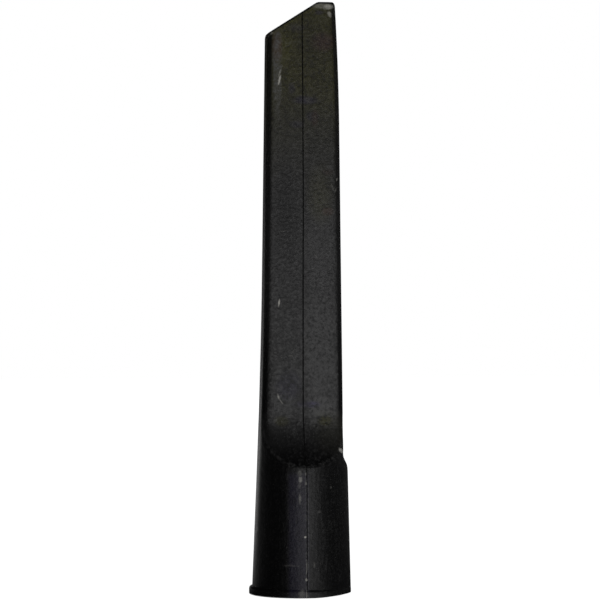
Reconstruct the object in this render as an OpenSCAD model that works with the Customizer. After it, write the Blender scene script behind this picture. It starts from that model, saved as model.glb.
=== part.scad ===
// Vacuum crevice tool: a round socket that grips the end of a wand, drawn out
// into a long flat nozzle with a slanted mouth. One hollow moulding.
// The socket stands on its rim at z = 0, its axis is the Z axis, the wide
// faces look along -Y and +Y, and the mouth slants down towards -X.

/* [Socket] */
// Outside radius of the socket's cone at the rim
socket_r = 19.2; // [18.4:0.1:22]
// Outside radius of the cone at the height where the long side's shoulder ends
neck_r = 17.95; // [17.8:0.05:19]
// Height of the cone up to the foot of the shoulder
socket_h = 48; // [44:1:60]
// Radius of the straight bore that a wand's end slides into
bore_r = 16.1; // [15:0.05:16.2]
// Depth of the straight bore, from the rim to its stop ledge
bore_depth = 38; // [26:1:40]
// Radius of the air way through the stop ledge
throat_r = 14; // [13.6:0.1:14.6]

/* [Rim bead] */
// Outside radius of the bead round the rim
bead_r = 19.73; // [19.6:0.01:20.4]
// Height of the bead
bead_h = 3.2; // [2.6:0.1:5]
// Radius of the bead's upper edge
bead_round = 1.1; // [0.5:0.1:1.2]
// Radius of its lower edge, at the rim
bead_foot_r = 0.4; // [0.2:0.1:1.2]
// Distance from the bore's axis to the bead's centre, towards the mouth's short side, so that the bead fades out on the other side
bead_shift = 0.64; // [0.3:0.01:0.9]

/* [Nozzle] */
// Height of the whole tool, from the rim to the top of the mouth
tool_h = 229; // [190:1:300]
// Width of the nozzle at the top of the scoops, before the flare is added
foot_w = 31; // [30:0.1:33]
// Width of the nozzle at the top of the mouth, before the long side is drawn in
tip_w = 27.5; // [24:0.1:30]
// Thickness of the nozzle at the top of the scoops
foot_d = 14.6; // [12:0.1:17]
// Thickness of the nozzle at the top of the mouth
tip_d = 11.4; // [10:0.1:14]
// Radius of the nozzle's four long edges
edge_r = 2.7; // [2.2:0.1:3.5]
// Wall of the nozzle
wall = 2; // [1.2:0.1:2.2]
// Radius of the air way's four long corners
inner_edge_r = 1; // [0.5:0.1:2]

/* [Sides] */
// Height at which the short side starts to flare out to the socket
flare_z = 125; // [90:1:150]
// Radius of the flare's long curve
flare_r = 2400; // [2000:50:4000]
// Height of the shoulder between the long side and the socket
shoulder_h = 6.2; // [5:0.1:12]
// Distance by which the shoulder's foot runs into the cone
shoulder_seat = 0.3; // [0.1:0.05:0.6]
// Distance by which the long side is drawn in just above the shoulder
waist_w = 0.4; // [0:0.1:0.8]
// Length over which the long side draws in towards the tip
draw_len = 49; // [20:1:80]
// Distance by which the long side is drawn in at the tip
draw_w = 1.2; // [0:0.1:2]

/* [Scoops] */
// Distance from the shoulder's foot up to where the scoops run out into the flat faces
scoop_len = 22; // [18:0.5:30]
// Radius of the scoops on both wide faces
scoop_r = 24; // [22:0.5:32]

/* [Mouth] */
// Slant of the mouth, as the angle between its edge and the level
mouth_angle = 32.4; // [10:0.1:45]
// Distance from the nozzle's centre plane to the point where the slant meets the level top
mouth_top_x = 5.7; // [2:0.1:9]
// Radius of the rounded corner at the mouth's low end
low_corner_r = 1.7; // [1:0.1:4]
// Radius of the rounded corner at the mouth's high end
high_corner_r = 1.3; // [0.6:0.1:2]

/* [Parting line] */
// Width of the fine groove that the mould leaves down both wide sides
seam_w = 0.5; // [0.3:0.05:0.8]
// Depth of that groove
seam_d = 0.2; // [0.1:0.05:0.3]

/* [Finish] */
// Colour of the plastic
plastic_colour = "#29292b"; // ["#29292b":black, "#5a5c5f":grey]

/* [Hidden] */
$fn = 96;

// Steps round one corner, along the scoop, and along each long stretch
corner_steps = 8;
scoop_steps = 24;
scoop_angle = 74;
// Angle by which the arcs of the mouth's corners stop short of the nozzle's sides
corner_open = 8;
side_steps = 6;
mouth_steps = 8;
funnel_steps = 14;
// Share of the air way's half thickness that its rounded corners may take up
round_share = 0.97;
// Overrun of every cut past the face that it opens
cut = 1;
// Half of a solid big enough to cover the socket all round
blank_r = max(socket_r, bead_r + bead_shift) + scoop_r / 4;

scoop_z = socket_h + scoop_len;
shoulder_z = socket_h + shoulder_h;
draw_z = tool_h - draw_len;
scoop_foot_z = scoop_z - scoop_r * sin(scoop_angle);
clear_z = scoop_z + 2 * edge_r;
slant = tan(mouth_angle);

// Value between a and b at share s
function mix(a, b, s) = a + (b - a) * s;
// Share of the way from a to b, held between 0 and 1
function way(z, a, b) = min(1, max(0, (z - a) / (b - a)));
// The same with a soft start and end
function ease(s) = s * s * (3 - 2 * s);

// Outside radius of the cone at height z
function cone_r(z) = mix(socket_r, neck_r, z / socket_h);
// Half width that both sides would have if they ran straight
function straight_w(z) = mix(foot_w, tip_w, (z - scoop_z) / (tool_h - scoop_z)) / 2;
// Half width on the mouth's short side, with its long flare down to the rim
function short_w(z) = straight_w(z) + pow(max(0, flare_z - z), 2) / flare_r / 2;
// Half width on the long side, with its shoulder, its waist and its drawn-in tip
function long_w(z) =
    z < socket_h - cut ? blank_r :
    mix(straight_w(z) - waist_w * way(z, scoop_z, shoulder_z), neck_r + shoulder_seat, ease(way(z, shoulder_z, socket_h)))
    - draw_w * pow(way(z, draw_z, tool_h), 2);
// Half thickness of the flat faces, and of the scoops below them
function flat_t(z) = mix(foot_d, tip_d, (z - scoop_z) / (tool_h - scoop_z)) / 2;
function scoop_t(z, r) = foot_d / 2 + scoop_r - sqrt(max(0, r * r - pow(scoop_z - z, 2)));
function outer_t(z) =
    z >= scoop_z ? flat_t(z) :
    z < scoop_foot_z ? blank_r :
    min(blank_r, scoop_t(z, scoop_r));

// Height of the air way's round throat, where the scoops' offset meets it
funnel_z = scoop_z - sqrt(pow(scoop_r + wall, 2) - pow(foot_d / 2 + scoop_r - throat_r, 2));
function funnel_share(z) = way(z, funnel_z, scoop_z);
function inner_t(z) =
    z >= scoop_z ? flat_t(z) - wall :
    z <= funnel_z ? throat_r :
    scoop_t(z, scoop_r + wall);
function inner_w(z, side_w) = mix(throat_r, side_w - wall, ease(funnel_share(z)));
function inner_r(z) = min(round_share * inner_t(z), mix(round_share * throat_r, inner_edge_r, funnel_share(z)));

// One corner of a section: its arc of points from angle a0, a quarter turn on
function corner(x, y, r, a0) = [
    for (i = [0:corner_steps]) let (a = a0 + i * 90 / corner_steps) [x + r * cos(a), y + r * sin(a)]
];
// A rounded section from -w0 to w1 and from -t to t, with a fine notch at the middle of both wide sides
function section(w0, w1, t, r, notch_w, notch_d) = concat(
    corner(w1 - r, t - r, r, 0),
    notch_w > 0 ? [[notch_w / 2, t], [0, t - notch_d], [-notch_w / 2, t]] : [],
    corner(-w0 + r, t - r, r, 90),
    corner(-w0 + r, -t + r, r, 180),
    notch_w > 0 ? [[-notch_w / 2, -t], [0, -t + notch_d], [notch_w / 2, -t]] : [],
    corner(w1 - r, -t + r, r, 270)
);

// A closed solid through sections of equally many points, lowest first
module loft(sections, heights) {
    n = len(sections[0]);
    top = len(heights) - 1;
    polyhedron(
        points = [for (k = [0:top]) for (p = sections[k]) [p[0], p[1], heights[k]]],
        faces = concat(
            [[for (i = [0:n - 1]) i]],
            [for (k = [0:top - 1]) for (i = [0:n - 1]) let (j = (i + 1) % n) [k * n + i, (k + 1) * n + i, (k + 1) * n + j]],
            [for (k = [0:top - 1]) for (i = [0:n - 1]) let (j = (i + 1) % n) [k * n + i, (k + 1) * n + j, k * n + j]],
            [[for (i = [0:n - 1]) top * n + n - 1 - i]]
        ),
        convexity = 6
    );
}

// Outer form of the nozzle, opened out below the scoops so that the cone shows there
module nozzle_form() {
    heights = concat(
        [for (i = [0:side_steps - 1]) mix(-cut, scoop_foot_z - cut, i / side_steps)],
        [scoop_foot_z - cut / 2],
        [for (i = [0:scoop_steps]) scoop_z - scoop_r * sin(scoop_angle * (1 - i / scoop_steps))],
        [for (i = [1:side_steps]) mix(scoop_z, flare_z, i / side_steps)],
        [for (i = [0:side_steps]) mix(draw_z, tool_h, i / side_steps)],
        [tool_h + cut]
    );
    loft([for (z = heights) section(short_w(z), long_w(z), outer_t(z), edge_r, seam_w, seam_d)], heights);
}

// Cone of the socket, opened out above the scoops to hold the whole nozzle
module socket_form() {
    rotate_extrude()
        polygon([[0, 0], [socket_r, 0], [neck_r, socket_h], [cone_r(clear_z), clear_z],
            [blank_r, clear_z], [blank_r, tool_h + 2 * cut], [0, tool_h + 2 * cut]]);
}

// Bead round the rim, with its centre off the axis
module bead() {
    top_z = bead_h - bead_round;
    translate([-bead_shift, 0, 0])
        rotate_extrude() {
            square([bead_r - bead_round, bead_h]);
            square([bead_r - bead_foot_r, top_z]);
            translate([0, bead_foot_r]) square([bead_r, top_z - bead_foot_r]);
            for (edge = [[bead_foot_r, bead_foot_r], [bead_round, top_z]])
                translate([bead_r - edge[0], edge[1]]) intersection() {
                    circle(r = edge[0], $fn = 48);
                    translate([-edge[0] / 2, -edge[0]]) square([2 * edge[0], 2 * edge[0]]);
                }
        }
}

// Air way: a round throat above the stop ledge, then a funnel into the flat passage
module air_way() {
    heights = concat(
        [bore_depth - cut],
        [for (i = [0:funnel_steps]) mix(funnel_z, scoop_z, i / funnel_steps)],
        [for (i = [0:side_steps]) mix(draw_z, tool_h, i / side_steps)],
        [tool_h + 2 * cut]
    );
    loft([for (z = heights) section(
        inner_w(z, straight_w(z)), inner_w(z, z > scoop_z ? long_w(z) : straight_w(z)),
        inner_t(z), inner_r(z), 0, 0)], heights);
}

// Everything above the slanted mouth, with a rounded corner at each end
module mouth_cut() {
    low_x = -short_w(tool_h) + low_corner_r;
    line_z = tool_h - (mouth_top_x - low_x) * slant;
    low_z = line_z - low_corner_r / cos(mouth_angle);
    high_x = long_w(tool_h) - high_corner_r;
    high_z = tool_h - high_corner_r;
    rotate([90, 0, 0]) linear_extrude(height = 2 * blank_r, center = true) polygon(concat(
        [[-blank_r, tool_h + 3 * cut], [-blank_r, low_z]],
        [for (i = [0:mouth_steps]) let (a = mix(180 - corner_open, 90 + mouth_angle, i / mouth_steps))
            [low_x + low_corner_r * cos(a), low_z + low_corner_r * sin(a)]],
        [[mouth_top_x, tool_h]],
        [for (i = [0:mouth_steps]) let (a = mix(90, corner_open, i / mouth_steps))
            [high_x + high_corner_r * cos(a), high_z + high_corner_r * sin(a)]],
        [[blank_r, high_z], [blank_r, tool_h + 3 * cut]]
    ));
}

// Fine groove along a straight line of the socket's outside, leaning in by an angle over a height
module groove(r, lean, low_z, high_z) {
    half_w = seam_w * (seam_d + cut) / seam_d / 2;
    for (a = [0, 180]) rotate([0, 0, a])
        translate([0, -r, 0]) rotate([-lean, 0, 0]) translate([0, 0, low_z])
            linear_extrude(height = high_z - low_z)
                polygon([[-half_w, -cut], [0, seam_d], [half_w, -cut]]);
}
// The parting line's grooves on the cone and over the bead
module socket_seam() {
    groove(socket_r, atan((socket_r - neck_r) / socket_h), bead_h, clear_z);
    groove(sqrt(pow(bead_r, 2) - pow(bead_shift, 2)), 0, -cut, bead_h - bead_round / 2);
}

module crevice_tool() {
    color(plastic_colour) difference() {
        union() {
            intersection() {
                socket_form();
                nozzle_form();
            }
            bead();
        }
        cylinder(r = bore_r, h = 2 * bore_depth, center = true);
        air_way();
        mouth_cut();
        socket_seam();
    }
}

crevice_tool();
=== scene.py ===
"""Looks of a moulded vacuum crevice tool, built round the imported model.

Lengths are millimetres in the tool's classes and metres in the studio. The tool
stands on its socket's rim at z = 0, its wide faces look along -Y and +Y, and
its mouth slants down towards -X.
"""

import logging
import math
from dataclasses import dataclass, field
from enum import Enum
from typing import Any, Mapping, Sequence

import bpy
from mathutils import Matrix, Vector

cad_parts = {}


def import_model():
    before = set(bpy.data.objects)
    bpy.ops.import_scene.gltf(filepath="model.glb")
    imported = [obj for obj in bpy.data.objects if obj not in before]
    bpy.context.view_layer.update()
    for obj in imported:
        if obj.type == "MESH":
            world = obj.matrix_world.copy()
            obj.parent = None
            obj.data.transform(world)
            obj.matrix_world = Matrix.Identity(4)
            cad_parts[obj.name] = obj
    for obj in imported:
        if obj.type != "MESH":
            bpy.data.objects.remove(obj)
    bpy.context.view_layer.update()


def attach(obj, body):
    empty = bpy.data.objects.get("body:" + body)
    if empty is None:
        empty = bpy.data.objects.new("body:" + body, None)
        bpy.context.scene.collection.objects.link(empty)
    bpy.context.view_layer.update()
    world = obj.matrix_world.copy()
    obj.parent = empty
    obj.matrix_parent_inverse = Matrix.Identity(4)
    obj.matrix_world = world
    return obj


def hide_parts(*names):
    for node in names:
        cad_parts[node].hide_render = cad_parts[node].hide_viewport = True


LOG = logging.getLogger("crevice_tool")
MM = 0.001
Span = tuple[float, float]
Colour = tuple[float, float, float]
Point = tuple[float, float, float]
WHITE = (1.0, 1.0, 1.0)
QUARTER = math.pi / 2
# Stands for a point that is nowhere near the parting line
FAR = 99.0


class Maths(Enum):
    """Operations of the Math node that the shader maths uses."""

    ADD = "ADD"
    SUBTRACT = "SUBTRACT"
    MULTIPLY = "MULTIPLY"
    DIVIDE = "DIVIDE"
    POWER = "POWER"
    MINIMUM = "MINIMUM"
    MAXIMUM = "MAXIMUM"
    ABSOLUTE = "ABSOLUTE"
    ANGLE = "ARCTAN2"


class Bench:
    """A material's or the world's node tree, with one method that adds any node."""

    def __init__(self, tree: bpy.types.NodeTree) -> None:
        """Empties the tree.

        Args:
            tree: The node tree to build in.
        """
        self.tree = tree
        tree.nodes.clear()

    def node(self, kind: str, settings: Mapping[str, Any] | None = None,
             inputs: Mapping[str | int, Any] | None = None) -> bpy.types.Node:
        """Adds a node, sets it, and then fills its sockets.

        Args:
            kind: The node's type.
            settings: Attributes of the node, or "stops" for a ramp's (place, colour) pairs.
            inputs: Socket name or number to a value, a Signal or a socket.

        Returns:
            The new node.
        """
        made = self.tree.nodes.new(kind)
        for name, value in (settings or {}).items():
            if name == "stops":
                ramp = made.color_ramp
                while len(ramp.elements) < len(value):
                    ramp.elements.new(1.0)
                for element, (place, colour) in zip(ramp.elements, value):
                    element.position = place
                    element.color = (*colour, 1.0)
            else:
                setattr(made, name, value)
        for name, value in (inputs or {}).items():
            socket = made.inputs[name]
            if isinstance(value, Signal):
                value = value.socket
            if isinstance(value, bpy.types.NodeSocket):
                self.tree.links.new(value, socket)
            elif socket.type == "RGBA":
                socket.default_value = (*value, 1.0)
            else:
                socket.default_value = value
        return made

    def signal(self, made: bpy.types.Node, output: str | int = 0) -> "Signal":
        """Wraps a node's output.

        Args:
            made: The node.
            output: The output's name or number.

        Returns:
            The wrapped output.
        """
        return Signal(self, made.outputs[output])


class Signal:
    """A socket whose values can be worked with in Python expressions."""

    def __init__(self, bench: Bench, socket: bpy.types.NodeSocket) -> None:
        """Keeps the socket and the bench that new nodes go to."""
        self.bench = bench
        self.socket = socket

    def _with(self, how: Maths, first: Any, second: Any = 0.0) -> "Signal":
        """Adds one Math node on two values or signals."""
        made = self.bench.node("ShaderNodeMath", {"operation": how.value}, {0: first, 1: second})
        return self.bench.signal(made)

    def __add__(self, other: Any) -> "Signal":
        """Sum."""
        return self._with(Maths.ADD, self, other)

    __radd__ = __add__

    def __sub__(self, other: Any) -> "Signal":
        """Difference."""
        return self._with(Maths.SUBTRACT, self, other)

    def __rsub__(self, other: Any) -> "Signal":
        """Difference from a number."""
        return self._with(Maths.SUBTRACT, other, self)

    def __mul__(self, other: Any) -> "Signal":
        """Product."""
        return self._with(Maths.MULTIPLY, self, other)

    __rmul__ = __mul__

    def __truediv__(self, other: Any) -> "Signal":
        """Quotient."""
        return self._with(Maths.DIVIDE, self, other)

    def __pow__(self, other: Any) -> "Signal":
        """Power."""
        return self._with(Maths.POWER, self, other)

    def __abs__(self) -> "Signal":
        """Size without its sign."""
        return self._with(Maths.ABSOLUTE, self)

    def at_most(self, other: Any) -> "Signal":
        """The smaller of two."""
        return self._with(Maths.MINIMUM, self, other)

    def at_least(self, other: Any) -> "Signal":
        """The larger of two."""
        return self._with(Maths.MAXIMUM, self, other)

    def angle_to(self, other: Any) -> "Signal":
        """Angle in radians of the point whose height is this value and whose reach is the other."""
        return self._with(Maths.ANGLE, self, other)

    def step(self, low: float, high: float) -> "Signal":
        """Smooth change from 0 at low to 1 at high.

        Args:
            low: Value that gives 0.
            high: Value that gives 1; it may be under low.

        Returns:
            The change as a mask.
        """
        flipped = high < low
        made = self.bench.node("ShaderNodeMapRange", {"interpolation_type": "SMOOTHSTEP"},
                               {0: self, 1: min(low, high), 2: max(low, high),
                                3: 1.0 if flipped else 0.0, 4: 0.0 if flipped else 1.0})
        return self.bench.signal(made)


def blend(bench: Bench, share: Any, first: Any, second: Any) -> Signal:
    """Mixes two colours.

    Args:
        bench: Where the node goes.
        share: How much of the second colour shows.
        first: Colour or signal at share 0.
        second: Colour or signal at share 1.

    Returns:
        The mixed colour.
    """
    made = bench.node("ShaderNodeMix", {"data_type": "RGBA"}, {0: share, 6: first, 7: second})
    return bench.signal(made, 2)


def new_object(name: str, data: bpy.types.ID) -> bpy.types.Object:
    """Puts an object with these data in the scene."""
    made = bpy.data.objects.new(name, data)
    bpy.context.collection.objects.link(made)
    return made


def new_material(name: str) -> tuple[bpy.types.Material, Bench]:
    """Makes a material and the bench for its nodes."""
    material = bpy.data.materials.new(name)
    material.use_nodes = True
    return material, Bench(material.node_tree)


def lerp(a: float, b: float, s: float) -> float:
    """Value between a and b at share s."""
    return a + (b - a) * s


def ease(s: float) -> float:
    """Share with a soft start and end, held between 0 and 1."""
    s = min(1.0, max(0.0, s))
    return s * s * (3 - 2 * s)


def soft_min(a: float, b: float, width: float) -> float:
    """The smaller of two lengths, rounded off where they are within a width of each other."""
    h = max(width - abs(a - b), 0.0) / width
    return min(a, b) - h * h * width / 4


def soft_max(a: float, b: float, width: float) -> float:
    """The larger of two lengths, with a fillet where they are within a width of each other."""
    return -soft_min(-a, -b, width)


def section_radius(dx: float, dy: float, w0: float, w1: float, t: float, r: float,
                   across: tuple[float, float] | None = None) -> float:
    """Distance from the axis to a rounded section, along a unit direction.

    Args:
        dx: Direction's part along X.
        dy: Direction's part along Y.
        w0: Half width towards -X.
        w1: Half width towards +X.
        t: Half thickness.
        r: Radius of the corners.
        across: How far the corners towards -X and +X reach along X, where that is not r.

    Returns:
        The distance.
    """
    w = w1 if dx > 0 else w0
    a = across[dx > 0] if across else r
    ax, ay = abs(dx), abs(dy)
    reach = min(w / ax if ax > 1e-9 else 1e9, t / ay if ay > 1e-9 else 1e9)
    cx, cy = w - a, t - r
    if reach * ax > cx and reach * ay > cy:
        square = (ax / a) ** 2 + (ay / r) ** 2
        along = ax * cx / a ** 2 + ay * cy / r ** 2
        inside = along * along - square * ((cx / a) ** 2 + (cy / r) ** 2 - 1)
        if inside > 0:
            return (along + math.sqrt(inside)) / square
    return reach


@dataclass
class ToolForm:
    """Sizes of the moulding and the surfaces that they give, in millimetres.

    Down to the mouth's corners they are the solid model's, but the mouth's slant
    lies 0.1 mm higher. The others are the skin's alone: how it is rounded, a
    slightly fuller short side, the parting line, the worn rim and the nick.
    """

    socket_r: float = 19.2
    neck_r: float = 17.95
    socket_h: float = 48.0
    bore_r: float = 16.1
    bore_depth: float = 38.0
    throat_r: float = 14.0
    bead_r: float = 19.73
    bead_h: float = 3.2
    bead_round: float = 1.1
    bead_foot_r: float = 0.4
    bead_shift: float = 0.64
    tool_h: float = 229.0
    foot_w: float = 31.0
    tip_w: float = 27.5
    foot_d: float = 14.6
    tip_d: float = 11.4
    edge_r: float = 2.7
    wall: float = 2.0
    inner_edge_r: float = 1.0
    round_share: float = 0.97
    flare_z: float = 125.0
    flare_r: float = 2400.0
    shoulder_h: float = 6.2
    shoulder_seat: float = 0.3
    waist_w: float = 0.4
    draw_len: float = 49.0
    draw_w: float = 1.2
    scoop_len: float = 22.0
    scoop_r: float = 24.0
    mouth_angle: float = 32.4
    mouth_top_x: float = 5.55
    low_corner_r: float = 1.7
    high_corner_r: float = 1.3

    scoop_share: float = 0.97
    scoop_slope: float = 4.0
    mouth_soft: float = 0.5
    edge_soft: float = 0.9
    bead_soft: float = 0.25
    bead_over: float = 1.0
    cone_over: float = 12.0
    rim_round: float = 0.35
    mouth_round: float = 0.5
    inner_round: float = 0.3
    fuller: float = 0.1
    short_corner: float = 0.25
    long_corner: float = 0.5
    flare_corner_share: float = 3.3
    seam_w: float = 0.34
    seam_d: float = 0.2
    seam_edge_share: float = 1.3
    seam_start: float = -0.12
    seam_swells: Sequence[Point] = ((0.12, 153.0, 22.0), (0.13, 61.5, 3.5), (-0.08, 50.0, 4.0))
    seam_leans: Sequence[Point] = ((-0.13, 44.0, 20.0), (-0.2, 185.0, 45.0))
    ridge_z: float = 43.0
    ridge_off: float = 0.25
    ridge_w: float = 0.45
    wear_h: float = 0.75
    wear_up: float = 2.0
    wear_from: float = 0.1
    wear_span: float = 0.85
    nick_d: float = 0.4
    nick_z: float = 25.6
    nick_h: float = 0.7
    nick_reach: float = 3.0
    nick_dx: float = -0.9
    nick_dy: float = -0.1
    nick_w: float = 0.12

    @property
    def scoop_z(self) -> float:
        """Height where the scoops run out into the flat faces."""
        return self.socket_h + self.scoop_len

    def cone_r(self, z: float) -> float:
        """Outside radius of the cone at a height."""
        return lerp(self.socket_r, self.neck_r, z / self.socket_h)

    def straight_w(self, z: float) -> float:
        """Half width that both sides would have if they ran straight."""
        return lerp(self.foot_w, self.tip_w, (z - self.scoop_z) / (self.tool_h - self.scoop_z)) / 2

    def flare(self, z: float) -> float:
        """Distance by which the mouth's short side flares out at a height."""
        return max(0.0, self.flare_z - z) ** 2 / self.flare_r / 2

    def short_w(self, z: float) -> float:
        """Half width on the mouth's short side, with its long flare."""
        return self.straight_w(z) + self.flare(z) + self.fuller

    def long_w(self, z: float) -> float:
        """Half width on the long side, with its shoulder, its waist and its drawn-in tip."""
        shoulder_z = self.socket_h + self.shoulder_h
        waist = min(1.0, max(0.0, (self.scoop_z - z) / (self.scoop_z - shoulder_z)))
        foot = ease((shoulder_z - z) / self.shoulder_h)
        wide = self.neck_r + self.shoulder_seat + max(0.0, self.socket_h - z)
        drawn = min(1.0, max(0.0, z - self.tool_h + self.draw_len) / self.draw_len)
        return lerp(self.straight_w(z) - self.waist_w * waist, wide, foot) - self.draw_w * drawn ** 2

    def flat_t(self, z: float) -> float:
        """Half thickness between the flat faces."""
        return lerp(self.foot_d, self.tip_d, (z - self.scoop_z) / (self.tool_h - self.scoop_z)) / 2

    def outer_t(self, z: float) -> float:
        """Half thickness outside, with the scoops that open out below the faces."""
        if z >= self.scoop_z:
            return self.flat_t(z)
        drop = min(self.scoop_z - z, self.scoop_r * self.scoop_share)
        deep = self.foot_d / 2 + self.scoop_r - math.sqrt(self.scoop_r ** 2 - drop ** 2)
        return deep + (self.scoop_z - z - drop) * self.scoop_slope

    def bead_radius(self, dx: float, z: float) -> float:
        """Radius of the rim's bead along a direction; zero above it."""
        if z > self.bead_h:
            return 0.0
        inset = 0.0
        for edge, corner in ((z, self.bead_foot_r), (self.bead_h - z, self.bead_round)):
            if edge < corner:
                inset = corner - math.sqrt(max(0.0, corner ** 2 - (corner - edge) ** 2))
        r = self.bead_r - inset
        along = -self.bead_shift * dx
        return along + math.sqrt(r * r - self.bead_shift ** 2 + along * along)

    def corners(self, z: float) -> tuple[float, float]:
        """How far the corners reach along X; the short side's reach further where it flares."""
        short = self.edge_r + self.short_corner + self.flare_corner_share * self.flare(z)
        return short, self.edge_r + self.long_corner

    def blade_radius(self, dx: float, dy: float, z: float) -> float:
        """Distance from the axis to the nozzle's outside, without the cone."""
        return section_radius(dx, dy, self.short_w(z), self.long_w(z), self.outer_t(z), self.edge_r,
                              self.corners(z))

    def outer_radius(self, dx: float, dy: float, z: float) -> float:
        """Distance from the axis to the outside, along a unit direction at a height."""
        blade = self.blade_radius(dx, dy, z)
        if z > self.scoop_z + self.cone_over:
            return blade
        r = soft_min(self.cone_r(z) + self.fuller * max(0.0, -dx), blade, self.edge_soft)
        if z < self.bead_h + self.bead_over:
            r = soft_max(r, self.bead_radius(dx, z), self.bead_soft)
        return r

    @property
    def funnel_z(self) -> float:
        """Height of the round throat, where the scoops' offset meets it."""
        reach = self.foot_d / 2 + self.scoop_r - self.throat_r
        return self.scoop_z - math.sqrt((self.scoop_r + self.wall) ** 2 - reach ** 2)

    def inner_section(self, z: float) -> tuple[float, float, float, float]:
        """Half widths, half thickness and corner radius of the air way at a height."""
        share = min(1.0, max(0.0, (z - self.funnel_z) / (self.scoop_z - self.funnel_z)))
        if z >= self.scoop_z:
            t = self.flat_t(z) - self.wall
        elif z <= self.funnel_z:
            t = self.throat_r
        else:
            centre = self.foot_d / 2 + self.scoop_r
            t = centre - math.sqrt((self.scoop_r + self.wall) ** 2 - (self.scoop_z - z) ** 2)
        low = lerp(self.throat_r, self.straight_w(z) - self.wall, ease(share))
        long = self.long_w(z) if z > self.scoop_z else self.straight_w(z)
        high = lerp(self.throat_r, long - self.wall, ease(share))
        corner = lerp(self.round_share * self.throat_r, self.inner_edge_r, share)
        return low, high, t, min(self.round_share * t, corner)

    def mouth_z(self, x: float) -> float:
        """Height of the mouth's edge above a place across the nozzle."""
        slant = math.radians(self.mouth_angle)
        top, low_r, high_r = self.tool_h, self.low_corner_r, self.high_corner_r
        z = soft_min(top - (self.mouth_top_x - x) * math.tan(slant), top, self.mouth_soft)
        low_x = -self.short_w(top) + low_r
        if x < low_x - low_r * math.sin(slant):
            centre = top - (self.mouth_top_x - low_x) * math.tan(slant) - low_r / math.cos(slant)
            reach = max(-low_r, x - low_x)
            z = min(z, centre + math.sqrt(max(0.0, low_r ** 2 - reach ** 2)))
        high_x = self.long_w(top) - high_r
        if x > high_x:
            reach = min(high_r, x - high_x)
            z = min(z, top - high_r + math.sqrt(max(0.0, high_r ** 2 - reach ** 2)))
        return z

    def seam_x(self, z: float) -> float:
        """Place of the parting line across the wide faces at a height; it wanders by a few tenths."""
        swell = sum(size * math.exp(-((z - middle) / reach) ** 2) for size, middle, reach in self.seam_swells)
        lean = sum(size * ease((z - start) / reach) for size, start, reach in self.seam_leans)
        return self.seam_start + swell + lean

    def rim_wear(self, dx: float, z: float) -> float:
        """Height by which the rim's outer edge is worn up, on the long side."""
        return self.wear_h * ease((dx - self.wear_from) / self.wear_span) * max(0.0, 1 - z / self.wear_up)

    def ridge(self, x: float, y: float, z: float) -> float:
        """How near a point outside is to the edge where a scoop meets the cone, from 0 to 1."""
        if not self.ridge_z < z < self.scoop_z:
            return 0.0
        dx, dy = x / math.hypot(x, y), y / math.hypot(x, y)
        apart = self.cone_r(z) - self.blade_radius(dx, dy, z)
        return math.exp(-((apart - self.ridge_off) / self.ridge_w) ** 2) * abs(dy)

    def nick(self, dx: float, dy: float, z: float) -> float:
        """Depth of the small nick in the socket's short side."""
        if abs(z - self.nick_z) > self.nick_reach or dx > self.nick_dx:
            return 0.0
        across = math.exp(-((dy - self.nick_dy) / self.nick_w) ** 2)
        return self.nick_d * math.exp(-((z - self.nick_z) / self.nick_h) ** 2) * across


def curl(radius: float, turn: float) -> tuple[float, float]:
    """How far a quarter round has come in, and how far it has still to go, at an angle in radians."""
    return radius * (1 - math.cos(turn)), radius * (1 - math.sin(turn))


def spread(count: int, low: float, high: float, pull: float = 0.0) -> list[float]:
    """Spaced values from low up to high, without high.

    Args:
        count: How many values.
        low: First value.
        high: Value that the next one would have.
        pull: How much closer together they lie near high, from 0 to 1.

    Returns:
        The values.
    """
    shares = [i / count for i in range(count)]
    return [lerp(low, high, lerp(s, 1 - (1 - s) ** 2, pull)) for s in shares]


@dataclass(frozen=True)
class Ring:
    """One ring of the skin, with how near the mouth's edge it is and how far inside, from 0 to 1."""

    points: list[Point]
    lip: float = 0.0
    inside: float = 0.0


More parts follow.
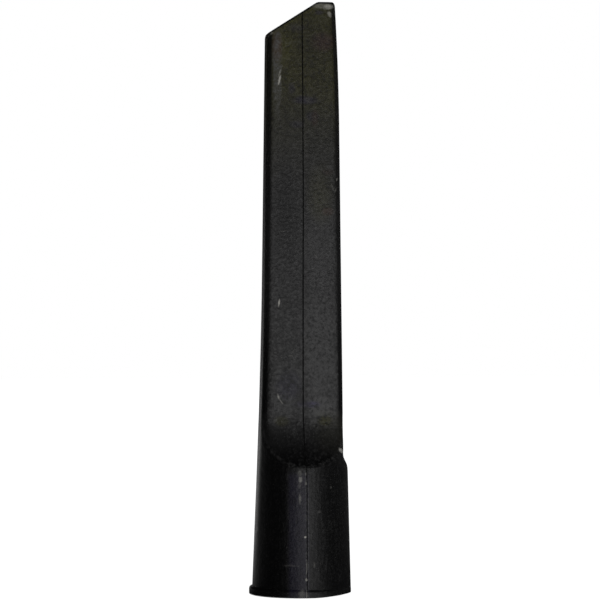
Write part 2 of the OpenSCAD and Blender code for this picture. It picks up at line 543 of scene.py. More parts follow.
@dataclass
class Moulding:
    """The one moulded piece: builds its closed skin ring by ring, with the masks that its finish reads."""

    form: ToolForm = field(default_factory=ToolForm)
    face_steps: int = 30
    corner_steps: int = 12
    side_steps: int = 14
    quarter_steps: int = 6
    settle_steps: int = 3
    end_pull: float = 0.35
    round_over: float = 2.0
    round_span: float = 26.0
    round_corner_share: float = 0.45
    round_z: float = 2.0
    level_z: float = 150.0
    lip_from: float = 0.97
    pale_z: float = 47.0
    pale_span: float = 3.0
    sharp_angle: float = 50.0
    seam_offsets: Sequence[float] = (-0.6, -0.32, -0.2, -0.13, -0.07, 0.0, 0.07, 0.13, 0.2, 0.32, 0.6)

    def directions(self, z: float) -> list[Point]:
        """Places of the skin's points round the section at a height.

        Args:
            z: The height.

        Returns:
            For each point its direction's X and Y and its distance from the seam, or a far one.
        """
        form = self.form
        cone = form.cone_r(z)
        w0, w1, t = (min(size, cone) for size in (form.short_w(z), form.long_w(z), form.outer_t(z)))
        share = ease((form.scoop_z + self.round_over - z) / self.round_span)
        r = lerp(form.edge_r, self.round_corner_share * cone, share)
        a0, a1 = (max(r, reach) for reach in form.corners(z))
        x0, x1, y1 = a0 - w0, w1 - a1, t - r
        seam, edge = form.seam_x(z), self.seam_offsets[-1]

        def toward(x: float, end: float) -> list[float]:
            """Places on a flat face from x up to the end, closer together near the end."""
            return spread(self.face_steps, x, end, self.end_pull)

        spots = [(x, -t, FAR) for x in toward(x0, seam - edge)]
        spots += [(seam + off, -t, off) for off in self.seam_offsets]
        spots += [(x1 - v, -t, FAR) for v in reversed(toward(0.0, x1 - seam - edge))]
        spots += self._corner(x1, -y1, a1, r, 270)
        spots += [(w1, y, FAR) for y in spread(self.side_steps, -y1, y1)]
        spots += self._corner(x1, y1, a1, r, 0)
        spots += [(x, t, FAR) for x in toward(x1, seam + edge)]
        spots += [(seam + off, t, off) for off in reversed(self.seam_offsets)]
        spots += [(x0 - v, t, FAR) for v in reversed(toward(0.0, x0 - seam + edge))]
        spots += self._corner(x0, y1, a0, r, 90)
        spots += [(-w0, y, FAR) for y in spread(self.side_steps, y1, -y1)]
        spots += self._corner(x0, -y1, a0, r, 180)
        return [(x / math.hypot(x, y), y / math.hypot(x, y), off) for x, y, off in spots]

    def _corner(self, x: float, y: float, a: float, r: float, start: float) -> list[Point]:
        """Points of one corner's arc, without its last one."""
        turns = [math.radians(start + 90 * i / self.corner_steps) for i in range(self.corner_steps)]
        return [(x + a * math.cos(turn), y + r * math.sin(turn), FAR) for turn in turns]

    def groove(self, off: float) -> float:
        """Depth of the parting line's groove at a distance from its middle."""
        edge = self.form.seam_w / 2 * self.form.seam_edge_share
        return self.form.seam_d * (1 - (off / edge) ** 2) ** 2 if abs(off) < edge else 0.0

    def outside(self, z: float) -> Ring:
        """One ring of the outside at a height."""
        form = self.form
        ring = []
        for dx, dy, off in self.directions(z):
            cut = self.groove(off) if z > form.bead_foot_r else 0.0
            r = form.outer_radius(dx, dy, z) - cut - form.nick(dx, dy, z)
            ring.append((dx * r, dy * r, z + form.rim_wear(dx, z)))
        return Ring(ring)

    def inside(self, z: float) -> Ring:
        """One ring of the air way at a height."""
        w0, w1, t, r = self.form.inner_section(z)
        ring = []
        for dx, dy, _ in self.directions(z):
            reach = section_radius(dx, dy, w0, w1, t, r)
            ring.append((dx * reach, dy * reach, z))
        return Ring(ring, inside=1.0)

    def round_ring(self, radius: float, z: float, inside: float = 1.0) -> Ring:
        """One round ring about the bore's axis."""
        points = [(dx * radius, dy * radius, z) for dx, dy, _ in self.directions(self.round_z)]
        return Ring(points, inside=inside)

    def nozzle_ring(self, share: float, inset: float, drop: float, lip: float = 0.0,
                    inside: float = 0.0) -> Ring:
        """One ring of the nozzle's upper part, bent to follow the mouth's slant.

        Args:
            share: Share of the way from the level rings up to the mouth's edge.
            inset: Distance inside the outer surface.
            drop: Distance that the ring stays under the mouth's edge at share 1.
            lip: How near the mouth's edge it is.
            inside: How far inside it is.

        Returns:
            The ring.
        """
        form = self.form
        ring = []
        guess = lerp(self.level_z, form.tool_h, share)
        corner = max(form.edge_r - inset, form.inner_edge_r)
        for dx, dy, off in self.directions(guess):
            z = guess
            for _ in range(self.settle_steps):
                across = tuple(max(reach - inset, corner) for reach in form.corners(z))
                r = section_radius(dx, dy, form.short_w(z) - inset, form.long_w(z) - inset,
                                   form.flat_t(z) - inset, corner, across if inset < form.wall else None)
                z = lerp(self.level_z, form.mouth_z(dx * r) - drop, share)
            if inset < form.mouth_round:
                r -= self.groove(off) * (1 - inset / form.mouth_round)
            ring.append((dx * r, dy * r, z))
        return Ring(ring, lip, inside)

    def rings(self) -> list[Ring]:
        """All rings of the closed skin, from the rim's bottom up the outside and down the inside.

        Returns:
            The rings; the last one joins the first.
        """
        form = self.form
        quarter = [QUARTER * i / self.quarter_steps for i in range(self.quarter_steps + 1)]
        heights = [curl(form.bead_foot_r, a)[0] for a in quarter]
        heights += [lerp(form.bead_foot_r, form.bead_h - form.bead_round, s) for s in (0.25, 0.5, 0.75)]
        heights += [form.bead_h - curl(form.bead_round, QUARTER * (1 - i / 10))[0] for i in range(11)]
        heights += [form.bead_h + over for over in (0.04, 0.12, 0.25, 0.45, 0.75)]
        heights += spread(48, form.bead_h + 1.2, form.socket_h - 2)
        heights += spread(64, form.socket_h - 2, form.scoop_z + 3)
        heights += spread(50, form.scoop_z + 3, self.level_z)
        made = [self.outside(z) for z in heights]
        made += [self.nozzle_ring(s, 0.0, form.mouth_round, ease((s - self.lip_from) / (1 - self.lip_from)))
                 for s in spread(46, 0.0, 1.0)]
        for a in quarter:
            inset, drop = curl(form.mouth_round, a)
            made.append(self.nozzle_ring(1.0, inset, drop, 1.0 - a / QUARTER))
        made += [self.nozzle_ring(1.0, lerp(form.mouth_round, form.wall - form.inner_round, s), 0.0)
                 for s in (0.33, 0.66)]
        for s in (0.0, 0.5, 1.0):
            drop, inset = curl(form.inner_round, s * QUARTER)
            made.append(self.nozzle_ring(1.0, form.wall - inset, drop, 0.0, s))
        made += [self.nozzle_ring(s, form.wall, form.inner_round, 0.0, 1.0)
                 for s in reversed(spread(22, 0.0, 1.0))]
        made += [self.inside(z) for z in reversed(spread(22, form.scoop_z, self.level_z))]
        made += [self.inside(z) for z in reversed(spread(26, form.funnel_z, form.scoop_z))]
        ledge = form.bore_depth
        throat, bore = form.throat_r, form.bore_r
        made += [self.round_ring(throat, z)
                 for z in (form.funnel_z - 2, ledge + 3, ledge + 0.4, ledge + 0.15)]
        made += [self.round_ring(r, ledge) for r in (throat + 0.15, throat + 0.4, bore - 0.3)]
        made += [self.round_ring(bore, z) for z in (ledge, ledge - 0.4, 30.0, 22.0, 14.0, 7.0, 2.0)]
        for s in (0.0, 0.25, 0.5, 0.75, 1.0):
            out, z = curl(form.rim_round, s * QUARTER)
            made.append(self.round_ring(bore + out, z, 1.0 - s))
        return made

    def masks(self, made: Sequence[Ring]) -> dict[str, list[float]]:
        """Values of the masks that the finish reads, for each point of the skin.

        Args:
            made: The skin's rings.

        Returns:
            Values by the mask's name. The ridge takes in the strips beside the socket's seam, which the
            finish paints with a highlight.
        """
        offs = [abs(off) for _, _, off in self.directions(self.round_z)]
        seam = [1.0 if off < 0.1 else 0.7 if off < 0.2 else 0.0 for off in offs]
        # Strips beside the seam, which the finish paints with a highlight.
        beside = [2.0 if 0.18 < off < 0.4 else 1.0 if 0.4 < off < 0.7 else 0.0 for off in offs]
        ridge = [0.0 if ring.inside > 0 else
                 max(self.form.ridge(x, y, z), share * ease((self.pale_z - z) / self.pale_span))
                 for ring in made for (x, y, z), share in zip(ring.points, beside)]
        return {"lip": [ring.lip for ring in made for _ in offs],
                "inside": [ring.inside for ring in made for _ in offs],
                "seam": [share * (1 - ring.inside) for ring in made for share in seam],
                "ridge": ridge}

    def build(self) -> bpy.types.Object:
        """Makes the mesh.

        Returns:
            The piece, with its lip, seam, ridge and inside attributes.
        """
        made = self.rings()
        count = len(made[0].points)
        points = [(x * MM, y * MM, z * MM) for ring in made for x, y, z in ring.points]
        faces = []
        for k in range(len(made)):
            up = (k + 1) % len(made)
            for i in range(count):
                j = (i + 1) % count
                faces.append((k * count + i, k * count + j, up * count + j, up * count + i))
        mesh = bpy.data.meshes.new("crevice_tool_skin")
        mesh.from_pydata(points, [], faces)
        for name, values in self.masks(made).items():
            layer = mesh.attributes.new(name, "FLOAT", "POINT")
            layer.data.foreach_set("value", values)
        mesh.polygons.foreach_set("use_smooth", [True] * len(mesh.polygons))
        mesh.update()
        mesh.set_sharp_from_angle(angle=math.radians(self.sharp_angle))
        return new_object("moulded_tool", mesh)


@dataclass(frozen=True)
class Mark:
    """One mark on the side that the photograph shows, in millimetres and degrees.

    It is a soft spot, or a scratch where one of its half sizes is small.
    """

    x: float
    z: float
    half_w: float
    half_h: float
    strength: float
    tilt: float = 0.0

    def mask(self, x: Signal, z: Signal) -> Signal:
        """Mask of the mark, from 0 outside to its strength at the middle.

        Args:
            x: Place along X in millimetres.
            z: Place along Z in millimetres.

        Returns:
            The mask.
        """
        c, s = math.cos(math.radians(self.tilt)), math.sin(math.radians(self.tilt))
        dx, dz = x - self.x, z - self.z
        across = (dx * c + dz * s) / self.half_w
        along = (dz * c - dx * s) / self.half_h
        return (across * across + along * along).step(1.0, 0.0) * self.strength


class Place:
    """What the finish knows of a point on the skin: its place in millimetres, masks and noises."""

    wide_turn: Span = (0.90, 0.985)
    flank_turn: Span = (0.93, 0.99)
    upward_turn: Span = (0.1, 0.5)
    front_y: Span = (0.0, -2.0)
    face_z: Span = (62.0, 68.0)
    socket_z: Span = (50.0, 46.0)
    scoop_low_z: Span = (49.0, 62.0)
    scoop_high_z: Span = (73.0, 67.0)
    band_left_x: Span = (-8.5, -6.0)
    band_right_x: Span = (1.5, 0.0)
    patch_scale: float = 45.0
    mottle_scale: float = 330.0
    grain_scale: float = 900.0
    fine_scale: float = 2600.0
    streak_scales: Point = (900.0, 900.0, 170.0)
    wander_scales: Span = (300.0, 290.0)
    wander: float = 0.6

    def __init__(self, bench: Bench) -> None:
        """Reads the place, the normal and the skin's masks.

        Args:
            bench: The material's node tree.
        """
        self.bench = bench
        coordinates = bench.node("ShaderNodeTexCoord")
        self.spot = bench.signal(coordinates, "Object")
        parts = bench.node("ShaderNodeSeparateXYZ", inputs={0: self.spot})
        self.x, self.y, self.z = (bench.signal(parts, axis) * (1 / MM) for axis in ("X", "Y", "Z"))
        normal = bench.node("ShaderNodeSeparateXYZ", inputs={0: bench.signal(coordinates, "Normal")})
        self.wide = abs(bench.signal(normal, "Y")).step(*self.wide_turn)
        self.flank = abs(bench.signal(normal, "X")).step(*self.flank_turn)
        self.upward = bench.signal(normal, "Z").step(*self.upward_turn)
        self.lip, self.seam, self.ridge, self.inside = (
            bench.signal(bench.node("ShaderNodeAttribute", {"attribute_name": name}), "Fac")
            for name in ("lip", "seam", "ridge", "inside"))
        self.patch, self.mottle = self.noise(self.patch_scale), self.noise(self.mottle_scale)
        self.grain, self.fine = self.noise(self.grain_scale, 2.0), self.noise(self.fine_scale, 2.0)
        cells = bench.node("ShaderNodeMapping", inputs={"Vector": self.spot, "Scale": self.streak_scales})
        self.streak = self.noise(1.0, 2.0, bench.signal(cells))
        self.wavy_x, self.wavy_z = (axis + (self.noise(scale, 2.0) - 0.5) * self.wander
                                    for axis, scale in zip((self.x, self.z), self.wander_scales))
        self.front = self.y.step(*self.front_y)
        self.face = self.wide * self.z.step(*self.face_z)
        self.scoop = self.z.step(*self.scoop_low_z) * self.z.step(*self.scoop_high_z)
        # Painted sheen: the socket's lit front band, made paler and violet.
        self.band = self.x.step(*self.band_left_x) * self.x.step(*self.band_right_x) * (
            self.z.step(*self.socket_z) * self.front)

    def noise(self, scale: float, detail: float = 3.0, vector: Signal | None = None) -> Signal:
        """Noise at so many cells a metre."""
        return self.bench.signal(self.bench.node("ShaderNodeTexNoise", inputs={
            "Vector": vector or self.spot, "Scale": scale, "Detail": detail, "Roughness": 0.55}))

    def marked(self, marks: Sequence[Mark], wavy: bool = True) -> Signal:
        """Masks of several marks on the seen side together, where the strongest shows.

        Args:
            marks: The marks.
            wavy: Whether their outlines waver.

        Returns:
            The mask.
        """
        x, z = (self.wavy_x, self.wavy_z) if wavy else (self.x, self.z)
        total = marks[0].mask(x, z)
        for mark in marks[1:]:
            total = total.at_least(mark.mask(x, z))
        return total * self.front


@dataclass(frozen=True)
class BlackPlastic:
    """Moulded black plastic with a thin uneven film, a fine grain, a dark parting line, worn spots and
    scratches, and painted highlights, glints and sheens.
    """

    black: Colour = (0.0006, 0.0006, 0.0007)
    film: Colour = (0.0216, 0.0213, 0.0216)
    pale: Colour = (0.0300, 0.0300, 0.0300)
    sallow: Colour = (0.0310, 0.0300, 0.0165)
    olive: Colour = (0.0245, 0.0232, 0.0015)
    violet: Colour = (0.0165, 0.0140, 0.0330)
    rust: Colour = (0.0380, 0.0195, 0.0130)
    # Pale colour of scratches and scuffs, also used for the painted highlights and glints.
    worn: Colour = (0.1700, 0.1650, 0.1500)
    groove: Colour = (0.0008, 0.0008, 0.0008)
    roughness: float = 0.34
    full_film: float = 1.6
    face_film: float = 0.42
    patch_film: float = 0.5
    tip_film: float = 0.22
    least_film: float = 0.03
    # Painted highlight under the mouth's edge.
    lip_highlight_film: float = 0.7
    edge_film: float = 0.18
    flank_film: float = 0.3
    flank_high_film: float = 0.4
    # Painted sheen on the socket's lit band.
    lit_band_sheen: float = 0.32
    scoop_film: float = 0.12
    scoop_long_film: float = 0.22
    grain_gain: float = 2.3
    mottle_gain: float = 0.7
    wiped_gain: float = 0.5
    # Painted highlight along the ridge and beside the socket's seam.
    ridge_highlight: float = 0.18
    socket_streak_gain: float = 0.5
    socket_grain_gain: float = 0.75
    dark_gain: float = 2.2
    dark_most: float = 0.85
    speck_light: float = 0.14
    bump: float = 0.9
    bump_depth: float = 0.00016
    paler: Sequence[Mark] = (
        Mark(-8.0, 210.3, 4.5, 7.5, 0.3), Mark(6.4, 133.0, 7.0, 40.0, 0.5), Mark(7.2, 73.2, 6.5, 5.5, 1.5),
        Mark(-7.5, 73.5, 5.0, 4.5, 0.3), Mark(6.4, 95.0, 8.5, 34.0, 0.75))
    darker: Sequence[Mark] = (
        Mark(-6.8, 147.0, 5.5, 26.0, 0.35), Mark(3.6, 212.0, 8.5, 14.0, 0.22),
        Mark(6.4, 204.4, 6.5, 18.0, 0.15), Mark(-7.6, 90.0, 5.0, 12.0, 0.15))
    # Painted sheen on the worn left edge near the tip, with a few fainter patches.
    wear_and_sheen_marks: Sequence[Mark] = (
        Mark(-10.3, 203.0, 2.5, 25.0, 0.48), Mark(-9.5, 212.0, 2.2, 6.0, 0.22),
        Mark(-4.0, 213.0, 5.0, 1.2, 0.14), Mark(8.0, 222.0, 4.5, 2.0, 0.10))
    violets: Sequence[Mark] = (
        Mark(0.6, 190.9, 6.4, 2.1, 0.75), Mark(-4.6, 195.5, 1.9, 3.0, 0.5), Mark(-2.5, 181.6, 3.6, 1.9, 0.5),
        Mark(-2.5, 219.0, 4.6, 2.0, 0.35), Mark(6.2, 224.8, 2.2, 1.2, 0.6), Mark(-6.0, 81.0, 6.2, 7.0, 0.8),
        Mark(1.0, 73.6, 6.5, 1.8, 0.9), Mark(3.4, 184.6, 3.2, 2.4, 0.6))
    rusts: Sequence[Mark] = (
        Mark(7.6, 213.4, 6.2, 4.6, 0.95), Mark(-10.4, 211.5, 2.6, 7.6, 0.7), Mark(4.4, 184.0, 1.8, 4.4, 0.7),
        Mark(9.5, 148.0, 3.2, 1.9, 0.7), Mark(9.5, 163.2, 3.2, 1.6, 0.5))
    olives: Sequence[Mark] = (
        Mark(6.5, 155.0, 7.5, 14.0, 0.5), Mark(-8.6, 67.2, 3.8, 2.6, 0.9), Mark(8.4, 67.2, 3.8, 2.6, 0.9))
    # Scratches and scuffs, and among them painted highlights and glints.
    rubs_and_glints: Sequence[Mark] = (
        # The first three marks are a painted highlight on the tip's long corner.
        Mark(9.5, 227.1, 2.6, 1.35, 0.6), Mark(6.9, 227.4, 4.2, 1.2, 0.26),
        Mark(10.2, 224.2, 0.95, 1.7, 0.45, 30), Mark(-12.3, 216.6, 1.0, 0.6, 0.2, 30),
        Mark(-9.3, 198.6, 0.5, 2.3, 0.95, -14),
        Mark(-9.2, 201.2, 0.4, 2.2, 0.35, -18), Mark(-9.6, 112.7, 0.42, 2.0, 0.85, -6),
        Mark(-9.9, 76.6, 0.4, 1.5, 0.45, 12), Mark(-8.9, 74.9, 0.34, 2.0, 0.3, 35),
        # Scuffs on the long side's face, then a painted highlight on the shoulder's top.
        Mark(13.0, 160.4, 0.34, 0.8, 0.3, -15), Mark(11.4, 157.0, 0.32, 2.0, 0.1, 20),
        Mark(12.5, 156.2, 0.30, 1.6, 0.12, -25), Mark(14.2, 55.8, 0.8, 1.9, 0.5, 40),
        Mark(4.6, 131.0, 0.2, 2.0, 0.14, 40), Mark(-4.2, 94.0, 0.2, 1.8, 0.14, -30),
        Mark(-8.0, 140.4, 2.0, 0.24, 0.14, 4), Mark(-5.2, 92.3, 1.6, 0.26, 0.16),
        # Painted highlights on the socket's lit front, painted glints and a painted highlight along its seam,
        # and a painted highlight on the bead's middle at 1.6 mm up; the rest are faint marks.
        Mark(-2.6, 45.2, 0.9, 1.5, 0.5),
        Mark(-2.9, 47.6, 1.0, 1.6, 0.17), Mark(-2.9, 43.0, 0.7, 1.8, 0.12), Mark(-2.8, 37.9, 0.6, 2.6, 0.26),
        Mark(-0.75, 23.4, 0.6, 0.6, 0.95), Mark(-0.5, 7.0, 0.6, 0.7, 0.95), Mark(-0.2, 11.7, 0.36, 3.8, 0.4),
        Mark(-0.6, 43.6, 0.5, 0.8, 0.3), Mark(-0.6, 47.4, 0.45, 0.8, 0.25), Mark(-0.3, 1.6, 0.5, 2.0, 0.45),
        Mark(-2.2, 1.6, 1.8, 2.2, 0.22), Mark(-6.0, 12.4, 4.0, 0.5, 0.07), Mark(2.6, 12.6, 0.5, 1.4, 0.14),
        Mark(9.4, 42.0, 0.6, 0.6, 0.08), Mark(4.8, 33.0, 0.5, 0.9, 0.1))

    def film_share(self, at: Place) -> Signal:
        """How much of the plastic's film shows, from 0 for bare black to 1.

        Args:
            at: What is known of a point.

        Returns:
            The share.
        """
        face = self.face_film + (at.patch - 0.5) * self.patch_film + at.z.step(180.0, 205.0) * self.tip_film
        uneven = at.marked(self.paler, wavy=False) - at.marked(self.darker, wavy=False)
        # Painted highlight along the mouth's rounded rim, just under its edge.
        lip_highlight = at.lip * at.noise(500.0).step(0.3, 0.65) * self.lip_highlight_film
        flank = self.flank_film + at.z.step(55.0, 75.0) * self.flank_high_film + (at.mottle - 0.5)
        scoop = self.scoop_film + at.x.step(-2.0, 9.0) * self.scoop_long_film
        amount = at.face * (face + uneven) + self.least_film + lip_highlight
        amount = amount + (1.0 - at.wide) * at.z.step(70.0, 130.0) * self.edge_film
        # The lit band adds a painted sheen on the socket's lit front.
        amount = amount + at.flank * flank + at.band * self.lit_band_sheen + at.scoop * scoop
        return (amount / self.full_film).at_least(0.0).at_most(1.0)

    def film_colour(self, at: Place, sallow: Signal) -> Signal:
        """Colour of the film: grey, olive towards the tip, violet on the socket's lit band as part of its
        painted sheen, and patchy.

        Args:
            at: What is known of a point.
            sallow: How near the tip it is, from 0 to 1.

        Returns:
            The colour.
        """
        seen = at.front * (1.0 - at.inside) * 0.75 + 0.25
        cast = (at.z.step(150.0, 180.0) * 0.4 + sallow * 0.6) * (at.wide * 0.65 + 0.35) * seen
        olives = at.marked(self.olives).at_least(at.scoop * at.x.step(0.0, 9.0) * 0.25)
        tint = blend(at.bench, cast, self.film, self.olive)
        tint = blend(at.bench, olives, tint, self.olive)
        # Violet on the lit band is part of its painted sheen.
        tint = blend(at.bench, at.marked(self.violets).at_least(at.band), tint, self.violet)
        return blend(at.bench, at.marked(self.rusts), tint, self.rust)

    def light(self, at: Place) -> Signal:
        """How much paler than the film the grain and the painted highlight along the ridge make a point;
        darker where it is under 0.

        Args:
            at: What is known of a point.

        Returns:
            The change.
        """
        grain, mottle, streak = at.grain - 0.5, at.mottle - 0.5, at.streak - 0.5
        wiped = streak * at.z.step(100.0, 78.0) * self.wiped_gain
        worked = at.face * (at.z.step(175.0, 110.0) * 0.4 + 0.6)
        socket = at.z.step(70.0, 64.0) * (0.25 + at.x.step(-9.0, -5.0) * (at.x.step(11.0, 6.0) * 0.45 + 0.3))
        # The ridge's share is a painted highlight where a scoop meets the cone and beside the socket's seam.
        return ((grain * self.grain_gain + mottle * self.mottle_gain + wiped) * worked
                + at.ridge * (grain + self.ridge_highlight)
                + (streak * self.socket_streak_gain + grain * self.socket_grain_gain) * socket)

    def build(self) -> bpy.types.Material:
        """Makes the material.

        Returns:
            The material.
        """
        material, bench = new_material("black_moulded_plastic")
        at = Place(bench)
        sallow = at.z.step(170.0, 202.0)
        colour = blend(bench, self.film_share(at), self.black, self.film_colour(at, sallow))

        # Painted sheen on worn places, added to the lightening.
        wear_and_sheen = at.marked(self.wear_and_sheen_marks) * (at.grain * 1.2 + 0.4)
        light = self.light(at) + wear_and_sheen
        seen_tip = sallow * at.front * (1.0 - at.inside) * (1.0 - wear_and_sheen * 4.0).at_least(0.0)
        pale = blend(bench, seen_tip, self.pale, self.sallow)
        dark = (light * -self.dark_gain).at_least(0.0).at_most(self.dark_most)
        colour = blend(bench, light.at_least(0.0).at_most(1.0), colour, pale)
        colour = blend(bench, dark, colour, self.black)

        mouth = at.upward.at_least(at.lip.step(0.72, 0.95)) * at.z.step(205.0, 209.0) * (1.0 - at.inside)
        # Scratches, scuffs, painted highlights and painted glints, all in the pale worn colour.
        rub_and_glint = (at.marked(self.rubs_and_glints) * (at.grain * 1.5 + 0.25)).at_most(1.0)
        speck = at.noise(1500.0, 1.0).step(0.74, 0.80) * self.speck_light
        colour = blend(bench, mouth, colour, self.groove)
        colour = blend(bench, rub_and_glint.at_least(speck).at_most(1.0), colour, self.worn)
        colour = blend(bench, at.seam * (1.0 - rub_and_glint), colour, self.groove)

        rough = (at.mottle - 0.5) * 0.10 + (at.patch - 0.5) * 0.05 + self.roughness
        rough = rough + at.seam * 0.5 + at.inside * 0.15 + rub_and_glint * 0.2 + mouth * 0.45
        height = at.fine * 0.35 + at.grain * 0.9 + at.mottle * 0.8 + at.streak * 0.5
        bumps = bench.signal(bench.node("ShaderNodeBump", inputs={
            "Strength": self.bump, "Distance": self.bump_depth, "Height": height}), "Normal")
        shader = bench.node("ShaderNodeBsdfPrincipled", inputs={
            "Base Color": colour, "Roughness": rough.at_most(0.9), "Normal": bumps, "IOR": 1.5})
        bench.node("ShaderNodeOutputMaterial", inputs={"Surface": shader.outputs[0]})
        return material


@dataclass(frozen=True)
class Lamp:
    """A soft square lamp: its bearing and height in degrees, and how bright it makes a white face."""

    name: str
    azimuth: float
    elevation: float
    level: float


@dataclass
class Studio:
    """Plain pale surroundings, soft lamps, the tent that the gloss sees and the camera.

    The tent's tones are (bearing, tone) and (height, tone) pairs in degrees; 1 is white.
    """

    azimuth: float = -7.0
    distance: float = 1.100
    height: float = 0.1138
    lens: float = 170.1
    sensor: float = 36.0
    aside: float = -0.00059
    ambient: float = 0.12
    floor_half: float = 3.0
    floor_tone: float = 0.8
    floor_glow: float = 1.10
    floor_seen: float = 0.9
    lamp_distance: float = 2.0
    lamp_size: float = 1.0
    lamps: Sequence[Lamp] = (
        Lamp("key_light", 25, 25, 0.95), Lamp("back_light", 180, 25, 0.7), Lamp("right_light", 105, 20, 0.6),
        Lamp("left_light", -105, 20, 0.7))
    tent_radius: float = 1.2
    tent_top: float = 88.0
    tent_around: int = 72
    tent_rows: int = 24
    ground_gap: float = 0.0003
    wall_foot: Span = (-5.2, -2.2)
    walls: Sequence[Span] = (
        (-180, 0.40), (-174, 0.20), (-166, 0.05), (-158, 0.03), (-148, 0.03), (-130, 0.025), (-90, 0.01),
        (-60, 0.01), (-45, 0.03), (-28, 0.13), (-15, 0.50), (-3, 0.93), (7, 1.0), (17, 0.93), (29, 0.50),
        (42, 0.18), (60, 0.14), (100, 0.12), (140, 0.08), (158, 0.06), (166, 0.08), (174, 0.30), (180, 0.45))
    ground: Sequence[Span] = (
        (-180, 0.85), (-170, 0.50), (-158, 0.24), (-147, 0.18), (-135, 0.16), (-120, 0.09), (-106, 0.04),
        (-90, 0.01), (-60, 0.01), (-45, 0.02), (-28, 0.10), (-15, 0.50), (-3, 0.93), (7, 1.0), (17, 0.93),
        (29, 0.45), (42, 0.10), (60, 0.03), (140, 0.03), (160, 0.12), (180, 0.85))
    heights: Sequence[Span] = (
        (-90, 0.40), (-45, 0.70), (-12, 1.05), (0, 1.05), (6, 0.21), (20, 0.20), (30, 0.16), (45, 0.10),
        (60, 0.05), (90, 0.012))

    def spot(self, azimuth: float, distance: float, z: float) -> Vector:
        """Place at a bearing round the tool; 0 is in front of it and 90 on its long side."""
        a = math.radians(azimuth)
        return Vector((math.sin(a) * distance, -math.cos(a) * distance, z))

    def camera(self) -> None:
        """Sets the camera where the photograph's was."""
        data = bpy.data.cameras.new("view")
        data.lens = self.lens
        data.sensor_width = self.sensor
        data.clip_start, data.clip_end = 0.05, 20.0
        cam = new_object("view", data)
        a = math.radians(self.azimuth)
        cam.location = self.spot(self.azimuth, self.distance, self.height)
        cam.location += Vector((math.cos(a), math.sin(a), 0)) * self.aside
        cam.rotation_euler = (math.pi / 2, 0.0, a)
        bpy.context.scene.camera = cam

    @staticmethod
    def seen(bench: Bench) -> Signal:
        """1 where the camera, gloss or glass looks, and 0 for the soft light on the tool."""
        path = bench.node("ShaderNodeLightPath")
        gloss = bench.signal(path, "Is Camera Ray").at_least(bench.signal(path, "Is Glossy Ray"))
        return gloss.at_least(bench.signal(path, "Is Transmission Ray"))

    def world(self) -> None:
        """Lights the tool softly, and shows white where the camera, gloss or glass sees the surroundings."""
        world = bpy.data.worlds.new("surroundings")
        bpy.context.scene.world = world
        world.use_nodes = True
        bench = Bench(world.node_tree)
        plain = bench.node("ShaderNodeBackground", inputs={"Color": WHITE, "Strength": self.ambient})
        white = bench.node("ShaderNodeBackground", inputs={"Color": WHITE, "Strength": 1.0})
        both = bench.node("ShaderNodeMixShader", inputs={
            0: self.seen(bench), 1: plain.outputs[0], 2: white.outputs[0]})
        bench.node("ShaderNodeOutputWorld", inputs={"Surface": both.outputs[0]})

    def light(self, lamp: Lamp) -> None:
        """Adds a lamp that faces the tool and leaves the gloss to the tent.

        Args:
            lamp: What the lamp is like.
        """
        e = math.radians(lamp.elevation)
        data = bpy.data.lights.new(lamp.name, "AREA")
        data.shape = "SQUARE"
        data.size = self.lamp_size
        data.energy = lamp.level * math.pi ** 2 * self.lamp_distance ** 2
        obj = new_object(lamp.name, data)
        obj.location = self.spot(lamp.azimuth, self.lamp_distance * math.cos(e),
                                 self.height + self.lamp_distance * math.sin(e))
        away = obj.location - Vector((0, 0, self.height))
        obj.rotation_euler = away.to_track_quat("Z", "Y").to_euler()
        obj.visible_glossy = False

    def tent_mesh(self) -> bpy.types.Mesh:
        """Makes the tent's dome and its ground cloth, which lies just above the floor.

        Returns:
            The closed mesh about the camera's height.
        """
        around, rows, r = self.tent_around, self.tent_rows, self.tent_radius
        foot = -math.degrees(math.asin((self.height - self.ground_gap) / r))
        points = []
        for k in range(rows + 1):
            e = math.radians(lerp(foot, self.tent_top, k / rows))
            for i in range(around):
                a = 2 * math.pi * i / around
                reach = r * math.cos(e)
                points.append((reach * math.sin(a), -reach * math.cos(a), r * math.sin(e)))
        faces = []
        for k in range(rows):
            for i in range(around):
                j = (i + 1) % around
                faces.append((k * around + i, k * around + j, (k + 1) * around + j, (k + 1) * around + i))
        faces.append(tuple(rows * around + i for i in range(around)))
        faces.append(tuple(reversed(range(around))))
        mesh = bpy.data.meshes.new("tent")
        mesh.from_pydata(points, [], faces)
        return mesh

    def tent_tone(self, bench: Bench) -> Signal:
        """Tone of the tent by bearing and height: pale in front and behind, dark at the sides and overhead.

        Args:
            bench: The tent's node tree.

        Returns:
            The tone; 1 is white.
        """
        spot = bench.signal(bench.node("ShaderNodeTexCoord"), "Object")
        parts = bench.node("ShaderNodeSeparateXYZ", inputs={0: spot})
        x, y, z = (bench.signal(parts, axis) for axis in ("X", "Y", "Z"))
        bearing = x.angle_to(y * -1.0) / math.tau + 0.5
        rise = z.angle_to((x * x + y * y) ** 0.5) / math.pi + 0.5

        def tone(value: Signal, stops: Sequence[Span], span: float) -> Signal:
            """Reads one table of tones over a span of degrees."""
            pairs = [(a / span + 0.5, (level,) * 3) for a, level in stops]
            ramp = bench.node("ShaderNodeValToRGB", {"stops": pairs}, {0: value})
            return bench.signal(bench.node("ShaderNodeRGBToBW", inputs={0: bench.signal(ramp)}))

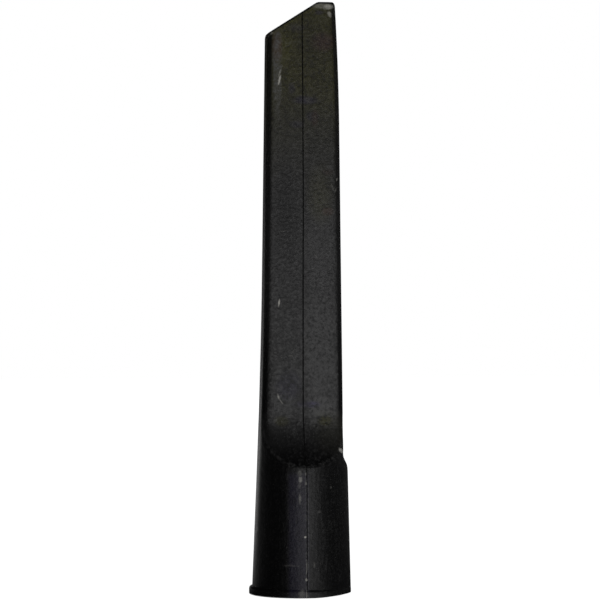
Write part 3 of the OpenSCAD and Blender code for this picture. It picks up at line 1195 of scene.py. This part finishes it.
        wall = rise.step(*(0.5 + a / 180 for a in self.wall_foot))
        sides = tone(bearing, self.ground, 360.0) * (1.0 - wall) + tone(bearing, self.walls, 360.0) * wall
        return sides * tone(rise, self.heights, 180.0)

    def tent(self) -> None:
        """Adds the soft tent, which only the gloss sees."""
        mesh = self.tent_mesh()
        obj = new_object("tent", mesh)
        obj.location = (0, 0, self.height)
        material, bench = new_material("soft_tent")
        glow = bench.node("ShaderNodeEmission", inputs={"Color": WHITE, "Strength": self.tent_tone(bench)})
        bench.node("ShaderNodeOutputMaterial", inputs={"Surface": glow.outputs[0]})
        mesh.materials.append(material)
        obj.visible_camera = obj.visible_diffuse = obj.visible_shadow = obj.visible_transmission = False

    def floor(self) -> None:
        """Adds the pale floor, which keeps a faint shadow."""
        mesh = bpy.data.meshes.new("floor")
        r = self.floor_half
        mesh.from_pydata([(-r, -r, 0), (r, -r, 0), (r, r, 0), (-r, r, 0)], [], [(0, 1, 2, 3)])
        obj = new_object("floor", mesh)
        material, bench = new_material("pale_floor")
        matt = bench.node("ShaderNodeBsdfDiffuse", inputs={"Color": (self.floor_tone,) * 3})
        white = bench.node("ShaderNodeEmission", inputs={"Color": WHITE, "Strength": self.floor_glow})
        both = bench.node("ShaderNodeMixShader", inputs={
            0: self.seen(bench) * self.floor_seen, 1: matt.outputs[0], 2: white.outputs[0]})
        bench.node("ShaderNodeOutputMaterial", inputs={"Surface": both.outputs[0]})
        mesh.materials.append(material)

    def build(self) -> None:
        """Sets everything up."""
        self.camera()
        self.world()
        self.floor()
        self.tent()
        for lamp in self.lamps:
            self.light(lamp)
        bpy.context.scene.view_settings.view_transform = "Standard"


def main() -> None:
    """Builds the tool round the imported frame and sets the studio."""
    logging.basicConfig(level=logging.INFO, format="%(name)s: %(message)s")
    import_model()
    piece = Moulding().build()
    piece.data.materials.append(BlackPlastic().build())
    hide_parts("crevice_tool")
    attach(piece, "root")
    LOG.info("%s: %d faces", piece.name, len(piece.data.polygons))
    Studio().build()


if __name__ == "__main__":
    main()
